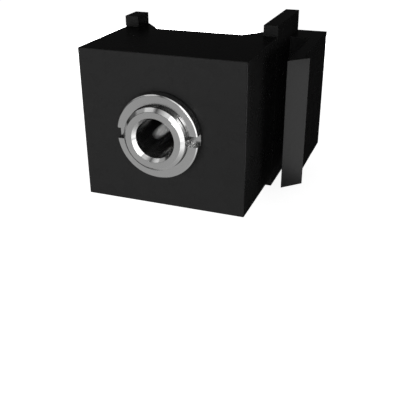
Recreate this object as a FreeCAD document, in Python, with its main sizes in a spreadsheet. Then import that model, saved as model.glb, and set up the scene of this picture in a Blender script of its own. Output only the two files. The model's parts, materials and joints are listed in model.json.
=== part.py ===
import FreeCAD, Part
import math
import os
import re
import Sketcher

# Keystone jack module, lying on its side as it comes out of a wall plate.
# The origin is on the plug's axis, at the plane of the front face.
# +Z is up, the front face looks along -Y, and the latch arm is on the +X side.
# All sizes are in millimetres.

DOC = FreeCAD.newDocument("keystone_jack_module")
SHEET = DOC.addObject("Spreadsheet::Sheet", "Sizes")

# Driving dimensions: name, value, what it is
SIZES = [
    ("face_width", 16.0, "front face, from the fixed hook's side to the latch's side"),
    ("face_height", 14.5, "front face, the other way"),
    ("block_depth", 9.8, "front face to the panel stops"),
    ("front_wall", 2.0, "wall that the bushing goes through"),
    ("side_wall", 1.42, "walls on the hook's side and the latch's side"),
    ("flank_wall", 1.4, "the block's two other walls"),
    ("stop_height", 1.05, "how far the wall ends stand proud as panel stops"),
    ("hook_wall_reach", 2.5, "hook-side wall, behind the panel stops"),
    ("latch_wall_reach", 8.8, "latch-side wall, behind the panel stops"),
    ("gusset_width", 2.05, "corner gusset, along the block's rear edge"),
    ("gusset_length", 2.4, "corner gusset, along the side wall"),
    ("edge_radius", 0.1, "softened edges of the front block"),
    ("lip_space", 2.74, "room for the panel's lip between catch faces and stops"),
    ("latch_gap", 2.07, "finger gap between the latch-side wall and the arm"),
    ("web_length", 3.54, "bridge between the latch-side wall and the arm"),
    ("arm_thickness", 1.0, "latch arm"),
    ("arm_height", 12.5, "latch arm and its web"),
    ("arm_root_gap", 0.02, "between the arm's root and the web's front face"),
    ("barb_height", 0.72, "the barb's rise over the arm's outer face"),
    ("hook_height", 1.0, "fixed hook's rise over the wall"),
    ("hook_thickness", 1.3, "fixed hook, at its root"),
    ("hook_ramp", 0.6, "fixed hook's sloping front"),
    ("hook_width", 10.0, "fixed hook, along the wall"),
    ("bore_diameter", 3.65, "the bushing's bore for a 3.5 mm plug"),
    ("thread_diameter", 5.95, "the bushing's M6 thread, over its crests"),
    ("bushing_proud", 2.0, "the bushing's face in front of the front face"),
    ("nose_chamfer", 0.33, "outer chamfer of the bushing's face"),
    ("mouth_width", 0.25, "countersink of the bore, across"),
    ("mouth_depth", 0.46, "countersink of the bore, deep"),
    ("collar_diameter", 8.0, "the bushing's collar, behind the front wall"),
    ("collar_thickness", 0.8, "the bushing's collar"),
    ("spigot_diameter", 5.2, "the bushing's rear end, inside the jack body"),
    ("spigot_length", 1.8, "the bushing's rear end, behind the ring tag"),
    ("hole_clearance", 0.05, "housing hole round the thread, on the radius"),
    ("thread_clearance", 0.02, "ring nut round the thread, on the radius"),
    ("nut_diameter", 7.9, "ring nut"),
    ("nut_thickness", 1.12, "ring nut"),
    ("nut_chamfer", 0.1, "ring nut's outer front edge"),
    ("nut_countersink", 0.2, "ring nut's inner front edge"),
    ("slot_width", 1.0, "driver slots across the ring nut"),
    ("slot_depth", 0.8, "driver slots across the ring nut"),
    ("body_diameter", 8.0, "jack body and rear cap"),
    ("body_bore_diameter", 4.2, "plug's way through the jack body, wider than the bushing's bore"),
    ("body_chamfer", 0.3, "jack body's front edge"),
    ("plug_length", 14.0, "3.5 mm plug, from its shoulder to its tip"),
    ("plug_end_gap", 0.3, "between the plug's tip and the rear cap's boss"),
    ("cap_thickness", 1.0, "rear cap"),
    ("cap_boss_length", 0.6, "rear cap's boss inside the jack body's bore"),
    ("fit_clearance", 0.02, "between sheet metal or bosses and what holds them"),
    ("leaf_thickness", 0.25, "tip and ring contacts"),
    ("tag_thickness", 0.3, "sleeve contact"),
    ("tag_diameter", 7.2, "sleeve contact's ring"),
    ("contact_width", 1.6, "all contacts and their solder lugs"),
    ("leaf_seat", 2.9, "leaf contacts' middle from the plug's axis, in the cap"),
    ("leaf_bend", 0.5, "leaf contacts' bend radius, at mid-thickness"),
    ("tag_bend", 0.3, "sleeve contact's bend radius, at mid-thickness"),
    ("leaf_straight", 0.3, "leaf contacts' straight stretch in front of the cap"),
    ("tip_touch", 2.2, "tip contact's touching point, from the plug's tip"),
    ("tip_touch_radius", 1.3, "tip contact's touching point, from the plug's axis"),
    ("ring_touch", 5.2, "ring contact's touching point, from the plug's tip"),
    ("ring_touch_radius", 1.5, "ring contact's touching point, from the plug's axis"),
    ("lead_in_length", 1.2, "leaf contacts' sprung end, along the plug"),
    ("lead_in_rise", 0.95, "leaf contacts' sprung end, away from the plug"),
    ("chamber_margin", 0.4, "jack body's chambers in front of and beside the leaves"),
    ("lug_reach", 3.7, "solder lugs behind the rear cap"),
    ("eyelet_diameter", 0.9, "wire hole in each solder lug"),
    ("eyelet_inset", 1.1, "wire hole from the lug's end"),
    ("lug_corner", 0.5, "solder lugs' cut corners"),
]

for row, (name, size, meaning) in enumerate(SIZES, start=1):
    SHEET.set(f"A{row}", name)
    SHEET.set(f"B{row}", str(size))
    SHEET.setAlias(f"B{row}", name)
    SHEET.set(f"C{row}", meaning)
DOC.recompute()

# Places worked out from the driving dimensions, as expressions
SIDE = "(face_width / 2)"
FLANK = "(face_height / 2)"
STOP_FLANK = "(face_height / 2 + stop_height)"
HOOK_WALL_END = "(block_depth + hook_wall_reach)"
LATCH_WALL_END = "(block_depth + latch_wall_reach)"
INNER_SIDE = "(face_width / 2 - side_wall)"
WEB_FRONT = f"({LATCH_WALL_END} - web_length)"
ARM_INSIDE = "(face_width / 2 + latch_gap)"
ARM_OUTSIDE = f"({ARM_INSIDE} + arm_thickness)"
CATCH = "(block_depth - lip_space)"
ARM_TIP = f"({CATCH} - arm_thickness - barb_height)"
BORE = "(bore_diameter / 2)"
THREAD = "(thread_diameter / 2)"
BODY = "(body_diameter / 2)"
TAG_FRONT = "(front_wall + collar_thickness)"
BODY_FRONT = f"({TAG_FRONT} + tag_thickness)"
PLUG_TIP = "(plug_length - bushing_proud)"
BOSS_FRONT = f"({PLUG_TIP} + plug_end_gap)"
CAP_FRONT = f"({BOSS_FRONT} + cap_boss_length)"
CAP_REAR = f"({CAP_FRONT} + cap_thickness)"
LUG_END = f"({CAP_REAR} + lug_reach)"
EYELET = f"({LUG_END} - eyelet_inset)"
TAG_LEG = f"({BODY} - tag_thickness / 2)"

START = 1
END = 2
CENTRE = 3
ORIGIN = -1
NAMES = {name for name, _, _ in SIZES}


def bound(expression):
    """The expression with each size's name tied to the sheet."""
    return re.sub(r"[a-z_]+", lambda found: f"Sizes.{found[0]}" if found[0] in NAMES else found[0], expression)


def number(expression):
    """The expression's present value."""
    return float(SHEET.evalExpression(expression))


def new_body(label):
    body = DOC.addObject("PartDesign::Body", label)
    body.Label = label
    return body


def new_sketch(body, role, name, lift="0"):
    """An empty sketch on one of the body's origin planes, moved along the plane's normal by lift."""
    sketch = body.newObject("Sketcher::SketchObject", name)
    plane = next(item for item in body.Origin.OriginFeatures if item.Role == role)
    sketch.AttachmentSupport = [(plane, "")]
    sketch.MapMode = "FlatFace"
    sketch.setExpression("AttachmentOffset.Base.z", bound(lift))
    return sketch


def hold(sketch, kind, references, expression):
    """A dimension of the sketch, driven by an expression."""
    place = sketch.addConstraint(Sketcher.Constraint(kind, *references, number(expression)))
    sketch.setExpression(f"Constraints[{place}]", bound(expression))


def pin(sketch, geometry, end, corner):
    """Holds a point of the sketch at a corner, given as two expressions."""
    hold(sketch, "DistanceX", (ORIGIN, START, geometry, end), corner[0])
    hold(sketch, "DistanceY", (ORIGIN, START, geometry, end), corner[1])


def draw_outline(sketch, corners):
    """A closed outline of straight lines through the corners."""
    spots = [FreeCAD.Vector(number(across), number(along), 0) for across, along in corners]
    first = len(sketch.Geometry)
    count = len(corners)
    for index in range(count):
        sketch.addGeometry(Part.LineSegment(spots[index], spots[(index + 1) % count]), False)
    for index in range(count):
        follower = first + (index + 1) % count
        sketch.addConstraint(Sketcher.Constraint("Coincident", first + index, END, follower, START))
        pin(sketch, first + index, START, corners[index])


def draw_box(sketch, low, high):
    """A rectangle between two opposite corners."""
    draw_outline(sketch, [low, (high[0], low[1]), high, (low[0], high[1])])


def draw_circle(sketch, centre, diameter):
    spot = FreeCAD.Vector(number(centre[0]), number(centre[1]), 0)
    circle = sketch.addGeometry(Part.Circle(spot, FreeCAD.Vector(0, 0, 1), number(diameter) / 2), False)
    pin(sketch, circle, CENTRE, centre)
    hold(sketch, "Diameter", (circle,), diameter)


def draw_route(sketch, corners, radius):
    """An open path of straight runs, with an arc of the same radius at each inner corner."""
    spots = [FreeCAD.Vector(number(across), number(along), 0) for across, along in corners]
    bend = number(radius)
    runs = len(spots) - 1
    ways = [(spots[index + 1] - spots[index]).normalize() for index in range(runs)]
    setbacks = [0.0]
    for index in range(1, runs):
        setbacks.append(bend * math.tan(ways[index - 1].getAngle(ways[index]) / 2))
    setbacks.append(0.0)
    for index in range(runs):
        begin = spots[index] + ways[index] * setbacks[index]
        finish = spots[index + 1] - ways[index] * setbacks[index + 1]
        sketch.addGeometry(Part.LineSegment(begin, finish), False)
    for index in range(1, runs):
        spot = spots[index]
        inward = (ways[index] - ways[index - 1]).normalize()
        half_turn = ways[index - 1].getAngle(ways[index]) / 2
        middle = spot + inward * (bend / math.cos(half_turn) - bend)
        begin = spot - ways[index - 1] * setbacks[index]
        finish = spot + ways[index] * setbacks[index]
        arc = sketch.addGeometry(Part.Arc(begin, middle, finish), False)
        turns_left = ways[index - 1].cross(ways[index]).z > 0
        arc_begin, arc_end = (START, END) if turns_left else (END, START)
        sketch.addConstraint(Sketcher.Constraint("Tangent", index - 1, END, arc, arc_begin))
        sketch.addConstraint(Sketcher.Constraint("Tangent", index, START, arc, arc_end))
        hold(sketch, "Radius", (arc,), radius)
        knee = sketch.addGeometry(Part.Point(spot), True)
        pin(sketch, knee, START, corners[index])
        sketch.addConstraint(Sketcher.Constraint("PointOnObject", knee, START, index - 1))
        sketch.addConstraint(Sketcher.Constraint("PointOnObject", knee, START, index))
    pin(sketch, 0, START, corners[0])
    pin(sketch, runs - 1, END, corners[-1])


def extrude(body, kind, name, sketch, length, side="One side", reverse=False):
    """A pad or a pocket of the sketch."""
    feature = body.newObject(f"PartDesign::{kind}", name)
    feature.Profile = sketch
    feature.SideType = side
    feature.Reversed = reverse
    feature.setExpression("Length", bound(length))
    return feature


def cut_through(body, name, sketch):
    """A pocket of the sketch right through the body, both ways."""
    feature = body.newObject("PartDesign::Pocket", name)
    feature.Profile = sketch
    feature.Type = "ThroughAll"
    feature.SideType = "Symmetric"
    return feature


def turn(body, kind, name, sketch):
    """A revolution or a groove of the sketch round the plug's axis, its own upright axis."""
    feature = body.newObject(f"PartDesign::{kind}", name)
    feature.Profile = sketch
    feature.ReferenceAxis = (sketch, ["V_Axis"])
    feature.Angle = 360
    return feature


def soften(body, kind, name, size, wanted):
    """A fillet or a chamfer on those edges of the body's tip that the test picks by their ends."""
    DOC.recompute()
    tip = body.Tip
    chosen = []
    for index, edge in enumerate(tip.Shape.Edges, start=1):
        ends = [corner.Point for corner in edge.Vertexes]
        if len(ends) == 2 and wanted(*ends):
            chosen.append(f"Edge{index}")
    feature = body.newObject(f"PartDesign::{kind}", name)
    feature.Base = (tip, chosen)
    feature.setExpression("Radius" if kind == "Fillet" else "Size", bound(size))
    return feature


def near(one, other):
    return abs(one - other) < 1e-4


# Housing: front block, side walls with panel stops, gussets, latch web and fixed hook
def make_housing():
    body = new_body("housing")

    face = new_sketch(body, "XZ_Plane", "front_face")
    draw_box(face, (f"-{SIDE}", f"-{FLANK}"), (SIDE, FLANK))
    extrude(body, "Pad", "front_block", face, "block_depth", reverse=True)

    side = number(SIDE)
    flank = number(FLANK)

    def is_front_edge(first, last):
        return near(first.y, 0) and near(last.y, 0)

    def is_long_edge(first, last):
        return all(near(abs(end.x), side) and near(abs(end.z), flank) for end in (first, last))

    soften(body, "Fillet", "soft_edges", "edge_radius",
           lambda first, last: is_front_edge(first, last) or is_long_edge(first, last))

    walls = new_sketch(body, "XY_Plane", "side_walls")
    draw_box(walls, (f"-{SIDE}", "block_depth"), (f"-{INNER_SIDE}", HOOK_WALL_END))
    draw_box(walls, (INNER_SIDE, "block_depth"), (SIDE, LATCH_WALL_END))
    extrude(body, "Pad", "walls_with_stops", walls, f"2 * {STOP_FLANK}", side="Symmetric")

    gussets = new_sketch(body, "XY_Plane", "gussets")
    gusset_end = "(block_depth + gusset_length)"
    for sign in ("-", ""):
        corner = (f"{sign}{INNER_SIDE}", "block_depth")
        along_edge = (f"{sign}({INNER_SIDE} - gusset_width)", "block_depth")
        along_wall = (f"{sign}{INNER_SIDE}", gusset_end)
        draw_outline(gussets, [corner, along_wall, along_edge])
    extrude(body, "Pad", "corner_gussets", gussets, "face_height", side="Symmetric")

    web = new_sketch(body, "XY_Plane", "latch_web")
    draw_box(web, (SIDE, WEB_FRONT), (ARM_OUTSIDE, LATCH_WALL_END))
    extrude(body, "Pad", "web_to_arm", web, "arm_height", side="Symmetric")

    hook = new_sketch(body, "XY_Plane", "hook_profile")
    hook_outside = f"-({SIDE} + hook_height)"
    hook_front = f"({CATCH} - hook_thickness)"
    draw_outline(hook, [
        (f"-{SIDE}", hook_front),
        (f"-{SIDE}", CATCH),
        (hook_outside, CATCH),
        (hook_outside, f"({hook_front} + hook_ramp)"),
    ])
    extrude(body, "Pad", "fixed_hook", hook, "hook_width", side="Symmetric")

    cavity = new_sketch(body, "XZ_Plane", "cavity", lift=f"-{LATCH_WALL_END}")
    inner_flank = f"({FLANK} - flank_wall)"
    draw_box(cavity, (f"-{INNER_SIDE}", f"-{inner_flank}"), (INNER_SIDE, inner_flank))
    extrude(body, "Pocket", "open_back", cavity, f"{LATCH_WALL_END} - front_wall", reverse=True)

    hole = new_sketch(body, "XZ_Plane", "bushing_hole")
    draw_circle(hole, ("0", "0"), "thread_diameter + 2 * hole_clearance")
    cut_through(body, "hole_for_bushing", hole)
    return body


# Latch arm: a flat spring that ends in a ramped barb, hinged where it leaves the web
def make_latch_arm():
    body = new_body("latch_arm")
    profile = new_sketch(body, "XY_Plane", "arm_profile")
    root = f"({WEB_FRONT} - arm_root_gap)"
    draw_outline(profile, [
        (ARM_INSIDE, root),
        (ARM_INSIDE, ARM_TIP),
        (f"({ARM_OUTSIDE} + barb_height)", CATCH),
        (ARM_OUTSIDE, CATCH),
        (ARM_OUTSIDE, root),
    ])
    extrude(body, "Pad", "arm_and_barb", profile, "arm_height", side="Symmetric")
    return body


# Ring nut: turned, with a driver slot cut straight across its front
def make_ring_nut():
    body = new_body("ring_nut")
    profile = new_sketch(body, "XY_Plane", "nut_profile")
    inner = f"({THREAD} + thread_clearance)"
    outer = "(nut_diameter / 2)"
    front = "-nut_thickness"
    draw_outline(profile, [
        (inner, "0"),
        (outer, "0"),
        (outer, f"{front} + nut_chamfer"),
        (f"{outer} - nut_chamfer", front),
        (f"{inner} + nut_countersink", front),
        (inner, f"{front} + nut_countersink"),
    ])
    turn(body, "Revolution", "turned_ring", profile)

    slot = new_sketch(body, "XZ_Plane", "slot_outline", lift="nut_thickness")
    draw_box(slot, ("-nut_diameter", "-slot_width / 2"), ("nut_diameter", "slot_width / 2"))
    extrude(body, "Pocket", "driver_slots", slot, "slot_depth")
    return body


# Bushing: threaded nose, collar behind the wall and a spigot for the jack body
def make_bushing():
    body = new_body("bushing")
    profile = new_sketch(body, "XY_Plane", "bushing_profile")
    face = "-bushing_proud"
    rear = f"({BODY_FRONT} + spigot_length)"
    draw_outline(profile, [
        (f"{BORE} + mouth_width", face),
        (BORE, f"{face} + mouth_depth"),
        (BORE, rear),
        ("spigot_diameter / 2", rear),
        ("spigot_diameter / 2", TAG_FRONT),
        ("collar_diameter / 2", TAG_FRONT),
        ("collar_diameter / 2", "front_wall"),
        (THREAD, "front_wall"),
        (THREAD, f"{face} + nose_chamfer"),
        (f"{THREAD} - nose_chamfer", face),
    ])
    turn(body, "Revolution", "turned_bushing", profile)
    return body


def add_strip(body, route, radius, thickness, plane):
    """Sheet-metal strip of the contacts' width, bent along a route that starts at the lug's end."""
    path = new_sketch(body, plane, "bend_line")
    draw_route(path, route, radius)
    section = new_sketch(body, "XZ_Plane", "strip_section", lift=f"-{LUG_END}")
    middle = route[0][0] if plane == "XY_Plane" else route[0][1]
    half_thickness = f"{thickness} / 2"
    half_width = "contact_width / 2"
    if plane == "XY_Plane":
        draw_box(section, (f"{middle} - {half_thickness}", f"-{half_width}"),
                 (f"{middle} + {half_thickness}", half_width))
    else:
        draw_box(section, (f"-{half_width}", f"{middle} - {half_thickness}"),
                 (half_width, f"{middle} + {half_thickness}"))
    strip = body.newObject("PartDesign::AdditivePipe", "bent_strip")
    strip.Profile = section
    strip.Spine = (path, [])
    return strip


def finish_lug(body, plane):
    """Cut corners and wire hole at the lug's end."""
    eyelet = new_sketch(body, plane, "eyelet")
    centre = ("0", EYELET) if plane == "XY_Plane" else (EYELET, "0")
    draw_circle(eyelet, centre, "eyelet_diameter")
    cut_through(body, "wire_hole", eyelet)

    lug_end = number(LUG_END)
    half_width = number("contact_width / 2")

    def is_corner(first, last):
        ends = (first, last)
        if not all(near(end.y, lug_end) for end in ends):
            return False
        if plane == "XY_Plane":
            return near(abs(first.x), half_width) and near(first.x, last.x)
        return near(abs(first.z), half_width) and near(first.z, last.z)

    soften(body, "Chamfer", "cut_corners", "lug_corner", is_corner)


def leaf_route(side, touch, touch_radius):
    """A leaf contact's bend line: straight lug, long leaf, touching point and lead-in."""
    seat = f"{side}leaf_seat"
    knee = f"({CAP_FRONT} - leaf_straight)"
    apex = f"{side}({touch_radius} + leaf_thickness / 2)"
    apex_along = f"({PLUG_TIP} - {touch})"
    free = f"{side}({touch_radius} + leaf_thickness / 2 + lead_in_rise)"
    free_along = f"({PLUG_TIP} - {touch} - lead_in_length)"
    return [(seat, LUG_END), (seat, knee), (apex, apex_along), (free, free_along)]


# Tip and ring contacts: leaf springs on opposite sides of the plug
def make_leaf_contact(label, side, touch, touch_radius):
    body = new_body(label)
    add_strip(body, leaf_route(side, touch, touch_radius), "leaf_bend", "leaf_thickness", "XY_Plane")
    finish_lug(body, "YZ_Plane")
    return body


# Sleeve contact: ring tag round the spigot, with a leg bent back along the jack body
def make_sleeve_contact():
    body = new_body("sleeve_contact")
    ring = new_sketch(body, "XZ_Plane", "ring_tag", lift=f"-{TAG_FRONT}")
    draw_circle(ring, ("0", "0"), "tag_diameter")
    draw_circle(ring, ("0", "0"), "spigot_diameter + 2 * fit_clearance")
    extrude(body, "Pad", "flat_ring", ring, "tag_thickness", reverse=True)

    mid_ring = f"({TAG_FRONT} + tag_thickness / 2)"
    leg = [
        (LUG_END, f"-{TAG_LEG}"),
        (mid_ring, f"-{TAG_LEG}"),
        (mid_ring, f"-({TAG_LEG} - 3 * tag_thickness)"),
    ]
    add_strip(body, leg, "tag_bend", "tag_thickness", "YZ_Plane")
    finish_lug(body, "XY_Plane")
    return body


def cut_leg_groove(body):
    """Groove for the sleeve contact's leg, along the underside."""
    groove = new_sketch(body, "XZ_Plane", "leg_groove")
    half_width = "(contact_width / 2 + fit_clearance)"
    floor = f"-({BODY} - tag_thickness - fit_clearance)"
    draw_box(groove, (f"-{half_width}", f"-{BODY} - tag_thickness"), (half_width, floor))
    cut_through(body, "groove_for_leg", groove)


# Jack body: round insulator with a bore, and a chamber for each leaf contact
def make_jack_body():
    body = new_body("jack_body")
    profile = new_sketch(body, "XY_Plane", "body_profile")
    draw_outline(profile, [
        ("spigot_diameter / 2 + fit_clearance", BODY_FRONT),
        (f"{BODY} - body_chamfer", BODY_FRONT),
        (BODY, f"{BODY_FRONT} + body_chamfer"),
        (BODY, CAP_FRONT),
        ("body_bore_diameter / 2", CAP_FRONT),
        ("body_bore_diameter / 2", f"{BODY_FRONT} + spigot_length + fit_clearance"),
        ("spigot_diameter / 2 + fit_clearance", f"{BODY_FRONT} + spigot_length + fit_clearance"),
    ])
    turn(body, "Revolution", "turned_insulator", profile)

    chambers = {"tip_chamber": ("", "tip_touch"), "ring_chamber": ("-", "ring_touch")}
    for name, (side, touch) in chambers.items():
        outline = new_sketch(body, "XY_Plane", f"{name}_outline")
        front = f"({PLUG_TIP} - {touch} - lead_in_length - chamber_margin)"
        draw_box(outline, ("0", front), (f"{side}(leaf_seat + chamber_margin)", CAP_FRONT))
        extrude(body, "Pocket", name, outline, "contact_width + 2 * fit_clearance", side="Symmetric")

    cut_leg_groove(body)
    return body


# Rear cap: closes the bore with a short boss and passes the three lugs
def make_rear_cap():
    body = new_body("rear_cap")
    profile = new_sketch(body, "XY_Plane", "cap_profile")
    boss = "(body_bore_diameter / 2 - fit_clearance)"
    draw_outline(profile, [
        ("0", BOSS_FRONT),
        (boss, BOSS_FRONT),
        (boss, CAP_FRONT),
        (BODY, CAP_FRONT),
        (BODY, CAP_REAR),
        ("0", CAP_REAR),
    ])
    turn(body, "Revolution", "turned_cap", profile)

    slots = new_sketch(body, "XZ_Plane", "lug_slots")
    half_slot = "(leaf_thickness / 2 + fit_clearance)"
    half_width = "(contact_width / 2 + fit_clearance)"
    for side in ("-", ""):
        low = (f"{side}leaf_seat - {half_slot}", f"-{half_width}")
        high = (f"{side}leaf_seat + {half_slot}", half_width)
        draw_box(slots, low, high)
    cut_through(body, "slots_for_lugs", slots)

    cut_leg_groove(body)
    return body


PIECES = [
    make_housing(),
    make_latch_arm(),
    make_ring_nut(),
    make_bushing(),
    make_sleeve_contact(),
    make_jack_body(),
    make_leaf_contact("tip_contact", "", "tip_touch", "tip_touch_radius"),
    make_leaf_contact("ring_contact", "-", "ring_touch", "ring_touch_radius"),
    make_rear_cap(),
]
DOC.recompute()

for item in DOC.Objects:
    if "Invalid" in item.State or "Error" in item.State:
        raise RuntimeError(f"{item.Label} could not be made: {item.State}")
for piece in PIECES:
    if piece.Shape.isNull() or not piece.Shape.isValid():
        raise RuntimeError(f"{piece.Label} has no valid solid")
    if len(piece.Shape.Solids) != 1:
        raise RuntimeError(f"{piece.Label} is not one solid")

os.makedirs("parts", exist_ok=True)
for piece in PIECES:
    piece.Shape.exportStep(f"parts/{piece.Label}.step")
    print(f"{piece.Label}: {piece.Shape.Volume:.2f} mm3, {len(piece.Shape.Faces)} faces")
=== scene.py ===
import json
import math

import bmesh
import bpy
from mathutils import Matrix, Vector


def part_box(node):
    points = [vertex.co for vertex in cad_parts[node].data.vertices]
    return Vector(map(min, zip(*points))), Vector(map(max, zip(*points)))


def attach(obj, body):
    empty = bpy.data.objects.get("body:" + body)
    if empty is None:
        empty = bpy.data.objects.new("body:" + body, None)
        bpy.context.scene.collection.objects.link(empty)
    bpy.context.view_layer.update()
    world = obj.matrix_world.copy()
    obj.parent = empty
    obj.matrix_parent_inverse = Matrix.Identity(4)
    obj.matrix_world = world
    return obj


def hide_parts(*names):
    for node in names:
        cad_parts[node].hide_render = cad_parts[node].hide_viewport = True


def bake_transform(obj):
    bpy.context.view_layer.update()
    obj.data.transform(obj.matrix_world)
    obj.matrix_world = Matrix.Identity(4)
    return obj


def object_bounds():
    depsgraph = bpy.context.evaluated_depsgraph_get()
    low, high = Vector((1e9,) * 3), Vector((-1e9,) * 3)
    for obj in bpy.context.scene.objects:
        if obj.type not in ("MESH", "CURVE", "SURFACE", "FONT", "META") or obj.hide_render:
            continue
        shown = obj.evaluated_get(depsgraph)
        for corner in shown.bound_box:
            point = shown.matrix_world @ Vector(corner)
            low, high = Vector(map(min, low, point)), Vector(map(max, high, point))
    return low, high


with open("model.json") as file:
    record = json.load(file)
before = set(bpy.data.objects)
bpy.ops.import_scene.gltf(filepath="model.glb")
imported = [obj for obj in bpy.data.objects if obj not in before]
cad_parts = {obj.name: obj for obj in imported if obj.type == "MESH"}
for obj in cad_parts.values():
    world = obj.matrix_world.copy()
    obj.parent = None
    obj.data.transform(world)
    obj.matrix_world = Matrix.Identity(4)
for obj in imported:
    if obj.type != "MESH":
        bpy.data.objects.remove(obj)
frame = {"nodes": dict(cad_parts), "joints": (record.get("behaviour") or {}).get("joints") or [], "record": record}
CAD_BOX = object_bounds()

# Metres in a millimetre. Meshes are made in millimetres and scaled down at the end.
MM = 0.001

# Places and sizes read from the frame, in millimetres
MOUNTS = {mount["name"]: mount for mount in frame["record"]["mounts"]}
HINGE = Vector(frame["joints"][0]["pos_m"]) / MM
ARM_LOW, ARM_HIGH = (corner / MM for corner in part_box("latch_arm"))
HOUSING_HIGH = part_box("housing")[1] / MM
NUT_LOW, NUT_HIGH = (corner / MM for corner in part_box("ring_nut"))
BUSHING_LOW, BUSHING_HIGH = (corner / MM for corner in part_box("bushing"))
CATCH_Y = MOUNTS["latch_catch"]["pos_m"][1] / MM
BORE_RADIUS = MOUNTS["plug_bore"]["dims"]["r_mm"]

# Countersunk mouth of the bore, and radius of the thread, in millimetres
MOUTH_WIDTH = 0.25
MOUTH_DEPTH = 0.46
MOUTH_RADIUS = BORE_RADIUS + MOUTH_WIDTH
THREAD_RADIUS = 2.975

# Camera: its place in metres, its turns, and its focal length in pixels of an image of the given width
EYE = Vector((23.062, -51.069, 20.917)) * MM
YAW = math.radians(-20.753)
PITCH = math.radians(-26.354)
ROLL = math.radians(-0.389)
FOCAL_PIXELS = 652.09
IMAGE_PIXELS = 400
SENSOR_WIDTH = 36.0
CLIP_START = 1 * MM


def add_camera():
    data = bpy.data.cameras.new("camera")
    data.sensor_width = SENSOR_WIDTH
    data.lens = FOCAL_PIXELS / IMAGE_PIXELS * SENSOR_WIDTH
    data.clip_start = CLIP_START
    forward = Vector((math.sin(YAW) * math.cos(PITCH), math.cos(YAW) * math.cos(PITCH), math.sin(PITCH)))
    level = Vector((math.cos(YAW), -math.sin(YAW), 0))
    upright = level.cross(forward)
    right = level * math.cos(ROLL) + upright * math.sin(ROLL)
    up = upright * math.cos(ROLL) - level * math.sin(ROLL)
    camera = bpy.data.objects.new("camera", data)
    camera.matrix_world = Matrix.Translation(EYE) @ Matrix((right, up, -forward)).transposed().to_4x4()
    bpy.context.scene.collection.objects.link(camera)
    bpy.context.scene.camera = camera


# The stretch of their range that the noise patterns fill
NOISE_START = 0.3
NOISE_END = 0.7


class Nodes:
    """Short calls for making the nodes of a material, a lamp or the world."""

    def __init__(self, owner):
        owner.use_nodes = True
        self.tree = owner.node_tree
        self.tree.nodes.clear()

    def add(self, kind, *ends, settings=None, **inputs):
        """A node with its first inputs in order, its settings, and its other inputs by name."""
        node = self.tree.nodes.new(f"ShaderNode{kind}")
        for name, value in (settings or {}).items():
            setattr(node, name, value)
        for place, value in enumerate(ends):
            self.feed(node.inputs[place], value)
        for name, value in inputs.items():
            self.feed(node.inputs[name.replace("_", " ")], value)
        return node

    def feed(self, socket, value):
        if isinstance(value, bpy.types.NodeSocket):
            self.tree.links.new(value, socket)
        else:
            socket.default_value = value

    def math(self, operation, first, second=0.0, clamp=False):
        node = self.add("Math", first, second, settings={"operation": operation, "use_clamp": clamp})
        return node.outputs[0]

    def parts(self, vector):
        return self.add("SeparateXYZ", Vector=vector).outputs

    def place(self):
        """The piece's own coordinates, in metres."""
        return self.add("TexCoord").outputs["Object"]

    def noise(self, vector, scale, detail, roughness):
        node = self.add("TexNoise", Vector=vector, Scale=scale, Detail=detail, Roughness=roughness)
        return node.outputs["Fac"]

    def stretched_noise(self, vector, stretch, scale, detail, roughness):
        stretched = self.add("Mapping", Vector=vector, Scale=stretch)
        return self.noise(stretched.outputs["Vector"], scale, detail, roughness)

    def mixed(self, first, second, share):
        """The first value in its share and the second in the rest."""
        part = self.math("MULTIPLY", first, share)
        rest = self.math("MULTIPLY", second, 1.0 - share)
        return self.math("ADD", part, rest)

    def spread(self, value, low, high, start=NOISE_START, end=NOISE_END):
        """The value's stretch from start to end, laid over low to high."""
        node = self.add("MapRange", Value=value, From_Min=start, From_Max=end, To_Min=low, To_Max=high)
        return node.outputs["Result"]

    def grey(self, value, dark, light, tint=(1.0, 1.0, 1.0)):
        """A colour between two greys."""
        node = self.add("ValToRGB", Fac=value)
        for element, place, level in zip(node.color_ramp.elements, (NOISE_START, NOISE_END), (dark, light)):
            element.position = place
            element.color = (*(level * part for part in tint), 1)
        return node.outputs["Color"]

    def bump(self, height, depth, **under):
        """A relief of that depth in metres, on the one under it."""
        return self.add("Bump", Height=height, Strength=1.0, Distance=depth, **under).outputs["Normal"]

    def surface(self, **inputs):
        shader = self.add("BsdfPrincipled", **inputs)
        self.add("OutputMaterial", Surface=shader.outputs[0])


def new_object(name, shape, material=None):
    """The object of a form, in the scene."""
    mesh = bpy.data.meshes.new(name)
    shape.to_mesh(mesh)
    shape.free()
    if material:
        mesh.materials.append(material)
    made = bpy.data.objects.new(name, mesh)
    bpy.context.scene.collection.objects.link(made)
    return made


# Soft boxes, which only plain surfaces see: name, middle in metres, the way they face away from the part,
# width and height in metres, and radiance
SOFTBOXES = [
    ("front_softbox", (0.000, -0.065, 0.007), (0, -1, 0), (0.080, 0.022), 6.3),
    ("right_softbox", (0.075, 0.015, 0.004), (1, 0, 0), (0.070, 0.022), 1.2),
    ("rear_softbox", (-0.040, 0.080, 0.000), (-0.10, 1, 0), (0.080, 0.016), 12.0),
    ("left_softbox", (-0.080, 0.010, 0.000), (-1, 0, 0), (0.080, 0.016), 12.0),
]

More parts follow.
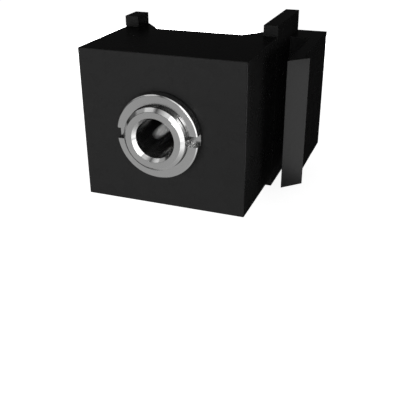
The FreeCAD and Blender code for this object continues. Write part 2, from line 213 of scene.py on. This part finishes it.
# White cards, which only mirrors see: the same terms, then the shares of width and height over which they
# fade. These light the metal pieces alone.
METAL_CARDS = [
    ("right_card", (0.060, -0.040, 0.050), (1, 0, 0), (0.125, 0.130), 2.1, (0.1, 0.1)),
    ("floor_card", (0.034, -0.010, -0.008), (0, 0, -1), (0.064, 0.018), 1.2, (0.2, 0.27)),
    ("far_card", (0.0465, -0.0285, -0.008), (0, 0, -1), (0.045, 0.037), 1.9, (0.2, 0.2)),
    ("upper_right_card", (0.085, -0.040, 0.170), (0, 0, 1), (0.260, 0.200), 1.5, (0.4, 0.2)),
    ("overhead_card", (-0.200, -0.020, 0.170), (0, 0, 1), (0.440, 0.220), 0.5, (0.2, 0.2)),
    ("upper_left_card", (-0.095, -0.010, 0.149), (-0.57, -0.05, 0.82), (0.130, 0.073), 0.6, (0.05, 0.05)),
    ("left_card", (-0.250, 0.010, 0.070), (-1, 0, 0), (0.140, 0.140), 0.16, (0.5, 0.3)),
    ("front_card", (0.030, -0.062, 0.015), (0.10, -1, 0), (0.026, 0.020), 5.2, (0.2, 0.2)),
    ("bore_card", (0.0126, -0.060, 0.0095), (0.20, -1, 0.15), (0.012, 0.012), 24.0, (0.2, 0.2)),
]

# A like card beside the latch's ramp, which lights the plastic pieces alone
RAMP_CARD = ("ramp_card", (0.0185, 0.0046, -0.002), (0.8, 0.6, 0), (0.010, 0.016), 3.5, (0.2, 0.1))

# The pieces that the cards light
METAL_PIECES = bpy.data.collections.new("metal_pieces")
PLASTIC_PIECES = bpy.data.collections.new("plastic_pieces")

# Watts for each square metre of a lamp of radiance 1
LAMP_WATTS = 4


def add_lamp(name, middle, away, sides, radiance):
    """A lamp for the plain surfaces; the cards stand for it in mirrors."""
    width, height = sides
    data = bpy.data.lights.new(name, "AREA")
    data.shape = "RECTANGLE"
    data.size = width
    data.size_y = height
    data.energy = LAMP_WATTS * width * height * radiance
    lamp = bpy.data.objects.new(name, data)
    lamp.visible_camera = False
    lamp.visible_glossy = False
    lamp.location = middle
    lamp.rotation_mode = "QUATERNION"
    lamp.rotation_quaternion = Vector(away).to_track_quat("Z", "Y")
    bpy.context.scene.collection.objects.link(lamp)
    return lamp


def add_card(receivers, name, middle, away, sides, radiance, fades):
    """A lamp for the mirrors of some pieces only, whose light fades out towards its edges."""
    card = add_lamp(name, middle, away, sides, radiance)
    card.light_linking.receiver_collection = receivers
    card.visible_diffuse = False
    card.visible_glossy = True
    nodes = Nodes(card.data)
    spot = nodes.parts(nodes.add("NewGeometry").outputs["Parametric"])
    strength = 1.0
    for along, fade in zip((spot["X"], spot["Y"]), fades):
        inward = nodes.math("MINIMUM", along, nodes.math("SUBTRACT", 1.0, along))
        strength = nodes.math("MULTIPLY", nodes.spread(inward, 0.0, 1.0, start=0.0, end=fade), strength)
    glow = nodes.add("Emission", Strength=strength)
    nodes.add("OutputLight", Surface=glow.outputs[0])


# Dim light from all round
WORLD_COLOUR = (1, 1, 1, 1)
WORLD_FILL = 0.03

# Floor, whose glow makes the background white for the camera, and a pool of light for mirrors.
# The distances from the middle, between which each glow changes, are in metres.
FLOOR_Z = CAD_BOX[0].z
FLOOR_RADIUS = 3.0
FLOOR_SEGMENTS = 64
FLOOR_COLOUR = (0.80, 0.80, 0.80, 1)
GLOW_NEAR = 0.86
GLOW_FAR = 1.0
GLOW_START = 0.02
GLOW_END = 0.09
POOL_NEAR = 0.66
POOL_START = 0.06
POOL_END = 0.20


def make_floor_white():
    """A plain floor, which keeps the part's shadow and has a glow for the camera and for mirrors."""
    material = bpy.data.materials.new("floor_white")
    nodes = Nodes(material)
    path = nodes.add("LightPath").outputs
    away = nodes.add("VectorMath", nodes.place(), settings={"operation": "LENGTH"}).outputs["Value"]
    plain = nodes.add("BsdfDiffuse", Color=FLOOR_COLOUR)
    glow = nodes.spread(away, GLOW_NEAR, GLOW_FAR, start=GLOW_START, end=GLOW_END)
    seen = nodes.add("Emission", Strength=nodes.math("MULTIPLY", path["Is Camera Ray"], glow))
    lit = nodes.add("AddShader", plain.outputs[0], seen.outputs[0])
    pool = nodes.spread(away, POOL_NEAR, WORLD_FILL, start=POOL_START, end=POOL_END)
    mirrored = nodes.add("Emission", Strength=pool)
    through = nodes.math("ADD", path["Is Glossy Ray"], path["Is Transmission Ray"], clamp=True)
    both = nodes.add("MixShader", through, lit.outputs[0], mirrored.outputs[0])
    nodes.add("OutputMaterial", Surface=both.outputs[0])
    return material


def add_floor():
    shape = bmesh.new()
    bmesh.ops.create_circle(shape, cap_ends=True, radius=FLOOR_RADIUS, segments=FLOOR_SEGMENTS)
    floor = new_object("floor", shape, make_floor_white())
    floor.location.z = FLOOR_Z


# Painted dark reflections: dark cards just above the floor, which only mirrors see: name, then left, right,
# front and back edge, in metres
FLAGS = [
    ("side_flag", 0.007, 0.30, -0.001, 0.30),
    ("front_flag", 0.007, 0.10, -0.09, -0.012),
]
FLAG_COLOUR = (0.01, 0.01, 0.01, 1)
FLAG_LIFT = 0.1 * MM


def add_flag(name, left, right, front, back):
    material = bpy.data.materials.new(f"{name}_black")
    nodes = Nodes(material)
    # Painted dark reflection: black that only mirrors see
    dark_reflection = nodes.add("BsdfDiffuse", Color=FLAG_COLOUR)
    nodes.add("OutputMaterial", Surface=dark_reflection.outputs[0])
    shape = bmesh.new()
    corners = [(left, front), (right, front), (right, back), (left, back)]
    shape.faces.new([shape.verts.new((x, y, 0)) for x, y in corners])
    flag = new_object(name, shape, material)
    flag.location.z = FLOOR_Z + FLAG_LIFT
    flag.visible_camera = False
    flag.visible_diffuse = False
    flag.visible_shadow = False


def add_world():
    world = bpy.data.worlds.new("studio")
    bpy.context.scene.world = world
    nodes = Nodes(world)
    path = nodes.add("LightPath").outputs
    seen = nodes.math("ADD", path["Is Camera Ray"], path["Is Transmission Ray"])
    strength = nodes.math("MAXIMUM", seen, WORLD_FILL)
    background = nodes.add("Background", Color=WORLD_COLOUR, Strength=strength)
    nodes.add("OutputWorld", Surface=background.outputs[0])


# Materials. Their patterns lie on each piece's own coordinates, in metres: scale, detail and roughness.
# Greys and roughnesses are the two ends of a range, and depths are in metres.

# Housing plastic
GRAIN = (14000.0, 3.0, 0.6)
GRAIN_SHARE = 0.35
GRAIN_DEPTH = 0.0010 * MM
CLOUD = (700.0, 4.0, 0.5)
CLOUD_DEPTH = 0.0012 * MM
HOUSING_GREYS = (0.0160, 0.0182)
HOUSING_ROUGHNESS = (0.26, 0.30)
HOUSING_SPECULAR = 0.07


def make_housing_plastic():
    """Black moulded plastic with a fine spark-eroded grain and faint clouding."""
    material = bpy.data.materials.new("housing_plastic_black")
    nodes = Nodes(material)
    place = nodes.place()
    grain = nodes.noise(place, *GRAIN)
    cloud = nodes.noise(place, *CLOUD)
    colour = nodes.grey(nodes.mixed(grain, cloud, GRAIN_SHARE), *HOUSING_GREYS)
    roughness = nodes.spread(cloud, *HOUSING_ROUGHNESS)
    relief = nodes.bump(grain, GRAIN_DEPTH, Normal=nodes.bump(cloud, CLOUD_DEPTH))
    nodes.surface(Base_Color=colour, Roughness=roughness, Normal=relief,
                  Specular_IOR_Level=HOUSING_SPECULAR)
    return material


# Insulator plastic
SMEAR = (1800.0, 5.0, 0.5)
SMEAR_DEPTH = 0.005 * MM
INSULATOR_GREYS = (0.012, 0.018)
INSULATOR_ROUGHNESS = (0.30, 0.42)
INSULATOR_SPECULAR = 0.25


def make_insulator_plastic():
    """Black moulded plastic, with a stronger shine than the housing's."""
    material = bpy.data.materials.new("insulator_plastic_black")
    nodes = Nodes(material)
    smear = nodes.noise(nodes.place(), *SMEAR)
    colour = nodes.grey(smear, *INSULATOR_GREYS)
    roughness = nodes.spread(smear, *INSULATOR_ROUGHNESS)
    relief = nodes.bump(smear, SMEAR_DEPTH)
    nodes.surface(Base_Color=colour, Roughness=roughness, Normal=relief,
                  Specular_IOR_Level=INSULATOR_SPECULAR)
    return material


# Nickel plate. The rings of its turning lie on millimetres across and along the plug's axis.
RINGS = (24.0, 3.0, 0.7)
RINGS_SHARE = 0.6
RINGS_DEPTH = 0.0003 * MM
RINGS_SHEEN = 0.8
QUARTER_TURN = 0.25
HAZE = (2500.0, 4.0, 0.5)
NICKEL_GREYS = (0.40, 0.44)
NICKEL_TINT = (1.0, 1.0, 0.995)
NICKEL_ROUGHNESS = (0.14, 0.20)

# Lines along the bore, where plugs have rubbed
RUBBING = (1.0, 2.0, 0.5)
RUBBING_STRETCH = (900.0, 60.0, 900.0)
BORE_ROUGHNESS = (0.12, 0.28)

# Painted highlight deep in the bore: a patch with a lighter colour and a higher roughness. Its side, the share of
# the radius where it starts, and its ends in millimetres
HIGHLIGHT_ANGLE = math.radians(216)
HIGHLIGHT_SIDE = Vector((math.cos(HIGHLIGHT_ANGLE), 0, math.sin(HIGHLIGHT_ANGLE)))
HIGHLIGHT_FROM = 0.95
HIGHLIGHT_START = 1.2
HIGHLIGHT_END = 3.4
HIGHLIGHT_ROUGHNESS = 0.8
# Painted highlight: how many times lighter the patch's colour is
HIGHLIGHT_LIGHTER = 2.2
# Painted highlight: how many times lighter the mouth's colour is
MOUTH_HIGHLIGHT_LIGHTER = 1.2

# Soft limits between the finishes of the bore, its mouth and the rest: millimetres beyond the radius of each
BORE_LIMIT = (0.01, 0.03)
MOUTH_LIMIT = (0.0, 0.01)


def turning_place(nodes):
    """Coordinates that change only across the plug's axis and along it, in millimetres."""
    axes = nodes.parts(nodes.place())
    squares = [nodes.math("POWER", axes[name], 2.0) for name in ("X", "Z")]
    across = nodes.math("SQRT", nodes.math("ADD", *squares))
    ring = nodes.math("DIVIDE", across, MM)
    along = nodes.math("DIVIDE", axes["Y"], MM)
    return nodes.add("CombineXYZ", X=ring, Y=along).outputs["Vector"]


def within(nodes, across, radius, limit):
    """1 inside a radius and 0 beyond its soft limit."""
    start, end = (radius + part for part in limit)
    return nodes.spread(across, 1.0, 0.0, start=start, end=end)


def painted_highlight_patch(nodes, place, along, in_bore):
    """1 in the middle of the painted highlight patch and 0 outside it."""
    beside = nodes.add("VectorMath", place, HIGHLIGHT_SIDE / MM, settings={"operation": "DOT_PRODUCT"})
    start = HIGHLIGHT_FROM * BORE_RADIUS
    highlight_across = nodes.spread(beside.outputs["Value"], 0.0, 1.0, start=start, end=BORE_RADIUS)
    highlight_along = nodes.spread(along, 0.0, 1.0, start=HIGHLIGHT_START, end=HIGHLIGHT_END)
    return nodes.math("MULTIPLY", nodes.math("MULTIPLY", highlight_across, highlight_along), in_bore)


def make_nickel():
    """Nickel plate on turned brass, with the fine rings of its turning, duller and rubbed in the bore, and painted
    highlights deep in the bore and in its mouth.
    """
    material = bpy.data.materials.new("nickel_plate")
    nodes = Nodes(material)
    place = nodes.place()
    turning = turning_place(nodes)
    spot = nodes.parts(turning)
    in_bore = within(nodes, spot["X"], BORE_RADIUS, BORE_LIMIT)
    in_mouth = nodes.math("SUBTRACT", within(nodes, spot["X"], MOUTH_RADIUS, MOUTH_LIMIT), in_bore)
    highlight_mask = painted_highlight_patch(nodes, place, spot["Y"], in_bore)
    rings = nodes.noise(turning, *RINGS)
    haze = nodes.noise(place, *HAZE)

    plain = nodes.grey(nodes.mixed(rings, haze, RINGS_SHARE), *NICKEL_GREYS, tint=NICKEL_TINT)
    # Painted highlights: the colour made lighter in the patch deep in the bore and in the mouth
    painted_highlights = nodes.math("MULTIPLY", nodes.spread(highlight_mask, 1.0, HIGHLIGHT_LIGHTER, start=0.0, end=1.0),
                         nodes.spread(in_mouth, 1.0, MOUTH_HIGHLIGHT_LIGHTER, start=0.0, end=1.0))
    colour = nodes.add("HueSaturation", Color=plain, Value=painted_highlights)

    rubbed = nodes.spread(nodes.stretched_noise(place, RUBBING_STRETCH, *RUBBING), *BORE_ROUGHNESS)
    dulled = nodes.math("ADD", rubbed, nodes.math("MULTIPLY", highlight_mask, HIGHLIGHT_ROUGHNESS))
    bore = nodes.math("MULTIPLY", dulled, in_bore)
    roughness = nodes.math("MAXIMUM", nodes.spread(haze, *NICKEL_ROUGHNESS), bore)

    grooves = nodes.add("Tangent", settings={"direction_type": "RADIAL", "axis": "Y"})
    nodes.surface(Base_Color=colour.outputs["Color"], Metallic=1.0, Roughness=roughness,
                  Normal=nodes.bump(rings, RINGS_DEPTH), Anisotropic=RINGS_SHEEN,
                  Anisotropic_Rotation=QUARTER_TURN, Tangent=grooves.outputs["Tangent"])
    return material


# Tin plate
ROLLING = (1.0, 3.0, 0.5)
ROLLING_STRETCH = (9000.0, 500.0, 9000.0)
ROLLING_DEPTH = 0.002 * MM
BLOOM = (1500.0, 5.0, 0.6)
TIN_GREYS = (0.50, 0.60)
TIN_TINT = (1.0, 0.985, 0.95)
TIN_ROUGHNESS = (0.26, 0.40)


def make_contact_metal():
    """Tin plate on rolled bronze strip, with rolling lines along the strip."""
    material = bpy.data.materials.new("tin_plate")
    nodes = Nodes(material)
    place = nodes.place()
    rolled = nodes.stretched_noise(place, ROLLING_STRETCH, *ROLLING)
    bloom = nodes.noise(place, *BLOOM)
    colour = nodes.grey(bloom, *TIN_GREYS, tint=TIN_TINT)
    roughness = nodes.spread(bloom, *TIN_ROUGHNESS)
    relief = nodes.bump(rolled, ROLLING_DEPTH)
    nodes.surface(Base_Color=colour, Metallic=1.0, Roughness=roughness, Normal=relief)
    return material


HOUSING_PLASTIC = make_housing_plastic()
INSULATOR_PLASTIC = make_insulator_plastic()
NICKEL = make_nickel()
CONTACT_METAL = make_contact_metal()
METALS = (NICKEL, CONTACT_METAL)


# Forms, in millimetres
WELD = 0.0005
PLANE_REACH = 0.01
FLAT_ANGLE = math.radians(1.0)
SHARP_ANGLE = math.radians(25.0)
EDGE_STEPS = 2
ROUND_PROFILE = 0.5


def cad_shape(node):
    """A node's solid form in millimetres, with its corners joined and its flat faces whole."""
    shape = bmesh.new()
    shape.from_mesh(frame["nodes"][node].data)
    shape.transform(Matrix.Scale(1 / MM, 4))
    bmesh.ops.remove_doubles(shape, verts=shape.verts, dist=WELD)
    bmesh.ops.dissolve_limit(shape, angle_limit=FLAT_ANGLE, verts=shape.verts, edges=shape.edges)
    return shape


def soften(shape, width, wanted=lambda edge: True):
    """Rounds the sharp edges wanted."""
    edges = [edge for edge in shape.edges
             if edge.is_manifold and edge.calc_face_angle() > SHARP_ANGLE and wanted(edge)]
    bmesh.ops.bevel(shape, geom=edges, offset=width, segments=EDGE_STEPS, profile=ROUND_PROFILE,
                    affect="EDGES", clamp_overlap=True)


def on_plane(edge, along):
    """Whether an edge lies in the plane that crosses the Y axis there, or nearly so in a rounded corner."""
    return all(abs(end.co.y - along) < PLANE_REACH for end in edge.verts)


def keep_crisp(shape, wanted):
    """Stops the smooth normals at the edges wanted."""
    for edge in shape.edges:
        if wanted(edge):
            edge.smooth = False


def faces_joined(corner):
    """The faces round a corner's vertex, up to the crisp edges."""
    joined = set()
    waiting = [corner.face]
    while waiting:
        face = waiting.pop()
        joined.add(face)
        for edge in corner.vert.link_edges:
            if edge.smooth and face in edge.link_faces:
                waiting.extend(other for other in edge.link_faces if other not in joined)
    return joined


def area_normal(corner):
    """Smooth normal weighted by the faces' areas, so that flat faces look flat beside rounded edges."""
    parts = (face.normal * face.calc_area() for face in faces_joined(corner))
    return sum(parts, Vector()).normalized()


def place_piece(shape, name, material, replaced, normal_at=area_normal):
    """Makes the object of a form, scaled down to metres."""
    shape.normal_update()
    for face in shape.faces:
        face.smooth = True
    normals = [normal_at(corner) for face in shape.faces for corner in face.loops]
    shape.transform(Matrix.Scale(MM, 4))
    piece = new_object(name, shape, material)
    piece.data.normals_split_custom_set(normals)
    receivers = METAL_PIECES if material in METALS else PLASTIC_PIECES
    receivers.objects.link(piece)
    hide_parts(replaced)
    return piece


# Housing
HOUSING_EDGE = 0.06


def make_housing():
    shape = cad_shape("housing")

    def beside_arm(edge):
        """The web's front edges, where the arm goes on without a break."""
        return on_plane(edge, HINGE.y) and all(end.co.x > HINGE.x for end in edge.verts)

    soften(shape, HOUSING_EDGE, lambda edge: not beside_arm(edge))
    keep_crisp(shape, beside_arm)
    piece = place_piece(shape, "housing_moulding", HOUSING_PLASTIC, "housing")
    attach(piece, "module")


# Latch arm, which goes on from the web without a break, cut across in steps
ARM_EDGE = 0.05
ARM_STEP = 0.35


def make_latch_arm():
    outside = HOUSING_HIGH.x
    outline = [
        (ARM_LOW.x, HINGE.y),
        (ARM_LOW.x, ARM_LOW.y),
        (ARM_HIGH.x, CATCH_Y),
        (outside, CATCH_Y),
        (outside, HINGE.y),
    ]
    shape = bmesh.new()
    lower = shape.faces.new([shape.verts.new((x, y, ARM_LOW.z)) for x, y in outline])
    lifted = bmesh.ops.extrude_face_region(shape, geom=[lower])["geom"]
    upper = [item for item in lifted if isinstance(item, bmesh.types.BMVert)]
    bmesh.ops.translate(shape, verts=upper, vec=(0, 0, ARM_HIGH.z - ARM_LOW.z))
    bmesh.ops.recalc_face_normals(shape, faces=shape.faces)

    def at_root(edge):
        return on_plane(edge, HINGE.y)

    soften(shape, ARM_EDGE, lambda edge: not at_root(edge))
    keep_crisp(shape, at_root)
    cuts = int((HINGE.y - CATCH_Y) / ARM_STEP)
    for cut in range(1, cuts):
        everything = list(shape.verts) + list(shape.edges) + list(shape.faces)
        middle = (0, HINGE.y - cut * ARM_STEP, 0)
        bmesh.ops.bisect_plane(shape, geom=everything, plane_co=middle, plane_no=(0, 1, 0))
    piece = place_piece(shape, "latch_arm_moulding", HOUSING_PLASTIC, "latch_arm")
    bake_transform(piece)


# Turned pieces
TURN_STEPS = 128


def turned(outline):
    """A closed outline of (radius, along) points, turned round the plug's axis."""
    shape = bmesh.new()
    rings = []
    for step in range(TURN_STEPS):
        turn = 2 * math.pi * step / TURN_STEPS
        rings.append([shape.verts.new((r * math.cos(turn), y, r * math.sin(turn))) for r, y in outline])
    for step, ring in enumerate(rings):
        following = rings[(step + 1) % TURN_STEPS]
        for index in range(len(outline)):
            nearby = (index + 1) % len(outline)
            shape.faces.new((ring[index], ring[nearby], following[nearby], following[index]))
    bmesh.ops.recalc_face_normals(shape, faces=shape.faces)
    return shape


def cut_with(shape, cutter):
    """The shape less the cutter, both in millimetres."""
    block = new_object("cut_block", shape)
    knife = new_object("cut_knife", cutter)
    change = block.modifiers.new("cut", "BOOLEAN")
    change.operation = "DIFFERENCE"
    change.solver = "EXACT"
    change.object = knife
    bpy.context.view_layer.update()
    outcome = block.evaluated_get(bpy.context.evaluated_depsgraph_get()).to_mesh()
    result = bmesh.new()
    result.from_mesh(outcome)
    for item in (block, knife):
        mesh = item.data
        bpy.data.objects.remove(item)
        bpy.data.meshes.remove(mesh)
    return result


# Ring nut, with a slot on each side
NUT_RADIUS = NUT_HIGH.x
NUT_FRONT = NUT_LOW.y
NUT_CHAMFER = 0.1
NUT_REAR_CHAMFER = 0.2
NUT_COUNTERSINK = 0.05
NUT_EDGE = 0.015
THREAD_CLEARANCE = 0.02
SLOT_WIDTH = 1.0
SLOT_DEPTH = 0.8
SLOT_LENGTH = 4 * NUT_RADIUS


def make_ring_nut():
    inner = THREAD_RADIUS + THREAD_CLEARANCE
    shape = turned([
        (inner, NUT_HIGH.y),
        (NUT_RADIUS - NUT_REAR_CHAMFER, NUT_HIGH.y),
        (NUT_RADIUS, NUT_HIGH.y - NUT_REAR_CHAMFER),
        (NUT_RADIUS, NUT_FRONT + NUT_CHAMFER),
        (NUT_RADIUS - NUT_CHAMFER, NUT_FRONT),
        (inner + NUT_COUNTERSINK, NUT_FRONT),
        (inner, NUT_FRONT + NUT_COUNTERSINK),
    ])
    cutter = bmesh.new()
    bmesh.ops.create_cube(cutter, size=1.0)
    cutter.transform(Matrix.Diagonal((SLOT_LENGTH, 2 * SLOT_DEPTH, SLOT_WIDTH, 1)))
    cutter.transform(Matrix.Translation((0, NUT_FRONT, 0)))
    shape = cut_with(shape, cutter)
    soften(shape, NUT_EDGE)
    piece = place_piece(shape, "ring_nut_turned", NICKEL, "ring_nut")
    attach(piece, "module")


# Bushing
BUSHING_FACE = BUSHING_LOW.y
NOSE_CHAMFER = 0.33
COLLAR_RADIUS = BUSHING_HIGH.x
COLLAR_FRONT = 2.0
COLLAR_REAR = 2.8
SPIGOT_RADIUS = 2.6
BUSHING_EDGE = 0.02

# The mouth's cone between its rounded ends: its middle, and the share of the depth that it takes each way
CONE_MIDDLE = BUSHING_FACE + MOUTH_DEPTH / 2
CONE_SHARE = 0.4


def make_bushing():
    shape = turned([
        (MOUTH_RADIUS, BUSHING_FACE),
        (BORE_RADIUS, BUSHING_FACE + MOUTH_DEPTH),
        (BORE_RADIUS, BUSHING_HIGH.y),
        (SPIGOT_RADIUS, BUSHING_HIGH.y),
        (SPIGOT_RADIUS, COLLAR_REAR),
        (COLLAR_RADIUS, COLLAR_REAR),
        (COLLAR_RADIUS, COLLAR_FRONT),
        (THREAD_RADIUS, COLLAR_FRONT),
        (THREAD_RADIUS, BUSHING_FACE + NOSE_CHAMFER),
        (THREAD_RADIUS - NOSE_CHAMFER, BUSHING_FACE),
    ])
    soften(shape, BUSHING_EDGE)

    def normal_at(corner):
        """The mouth's cone has the normals, and so the shine, of a chamfer at 45 degrees."""
        middle = corner.face.calc_center_median()
        on_cone = abs(middle.y - CONE_MIDDLE) < MOUTH_DEPTH * CONE_SHARE
        if on_cone and math.hypot(middle.x, middle.z) < MOUTH_RADIUS:
            point = corner.vert.co
            return (Vector((-point.x, 0, -point.z)).normalized() + Vector((0, -1, 0))).normalized()
        return area_normal(corner)

    piece = place_piece(shape, "bushing_turned", NICKEL, "bushing", normal_at)
    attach(piece, "module")


# Pieces inside the housing: their solid forms with softened edges
SHEET_EDGE = 0.03
MOULDED_EDGE = 0.05
INNER_PIECES = {
    "sleeve_contact": (CONTACT_METAL, "contact_metal", SHEET_EDGE),
    "tip_contact": (CONTACT_METAL, "contact_metal", SHEET_EDGE),
    "ring_contact": (CONTACT_METAL, "contact_metal", SHEET_EDGE),
    "jack_body": (INSULATOR_PLASTIC, "insulator_plastic", MOULDED_EDGE),
    "rear_cap": (INSULATOR_PLASTIC, "insulator_plastic", MOULDED_EDGE),
}


def make_inner_pieces():
    for node, (material, slot, edge) in INNER_PIECES.items():
        shape = cad_shape(node)
        soften(shape, edge)
        piece = place_piece(shape, f"{node}_detailed", material, node)
        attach(piece, "module")


add_camera()
for softbox in SOFTBOXES:
    add_lamp(*softbox)
for card in METAL_CARDS:
    add_card(METAL_PIECES, *card)
add_card(PLASTIC_PIECES, *RAMP_CARD)
add_floor()
for flag in FLAGS:
    add_flag(*flag)
add_world()
make_housing()
make_latch_arm()
make_ring_nut()
make_bushing()
make_inner_pieces()

bpy.context.scene.view_settings.view_transform = "Standard"
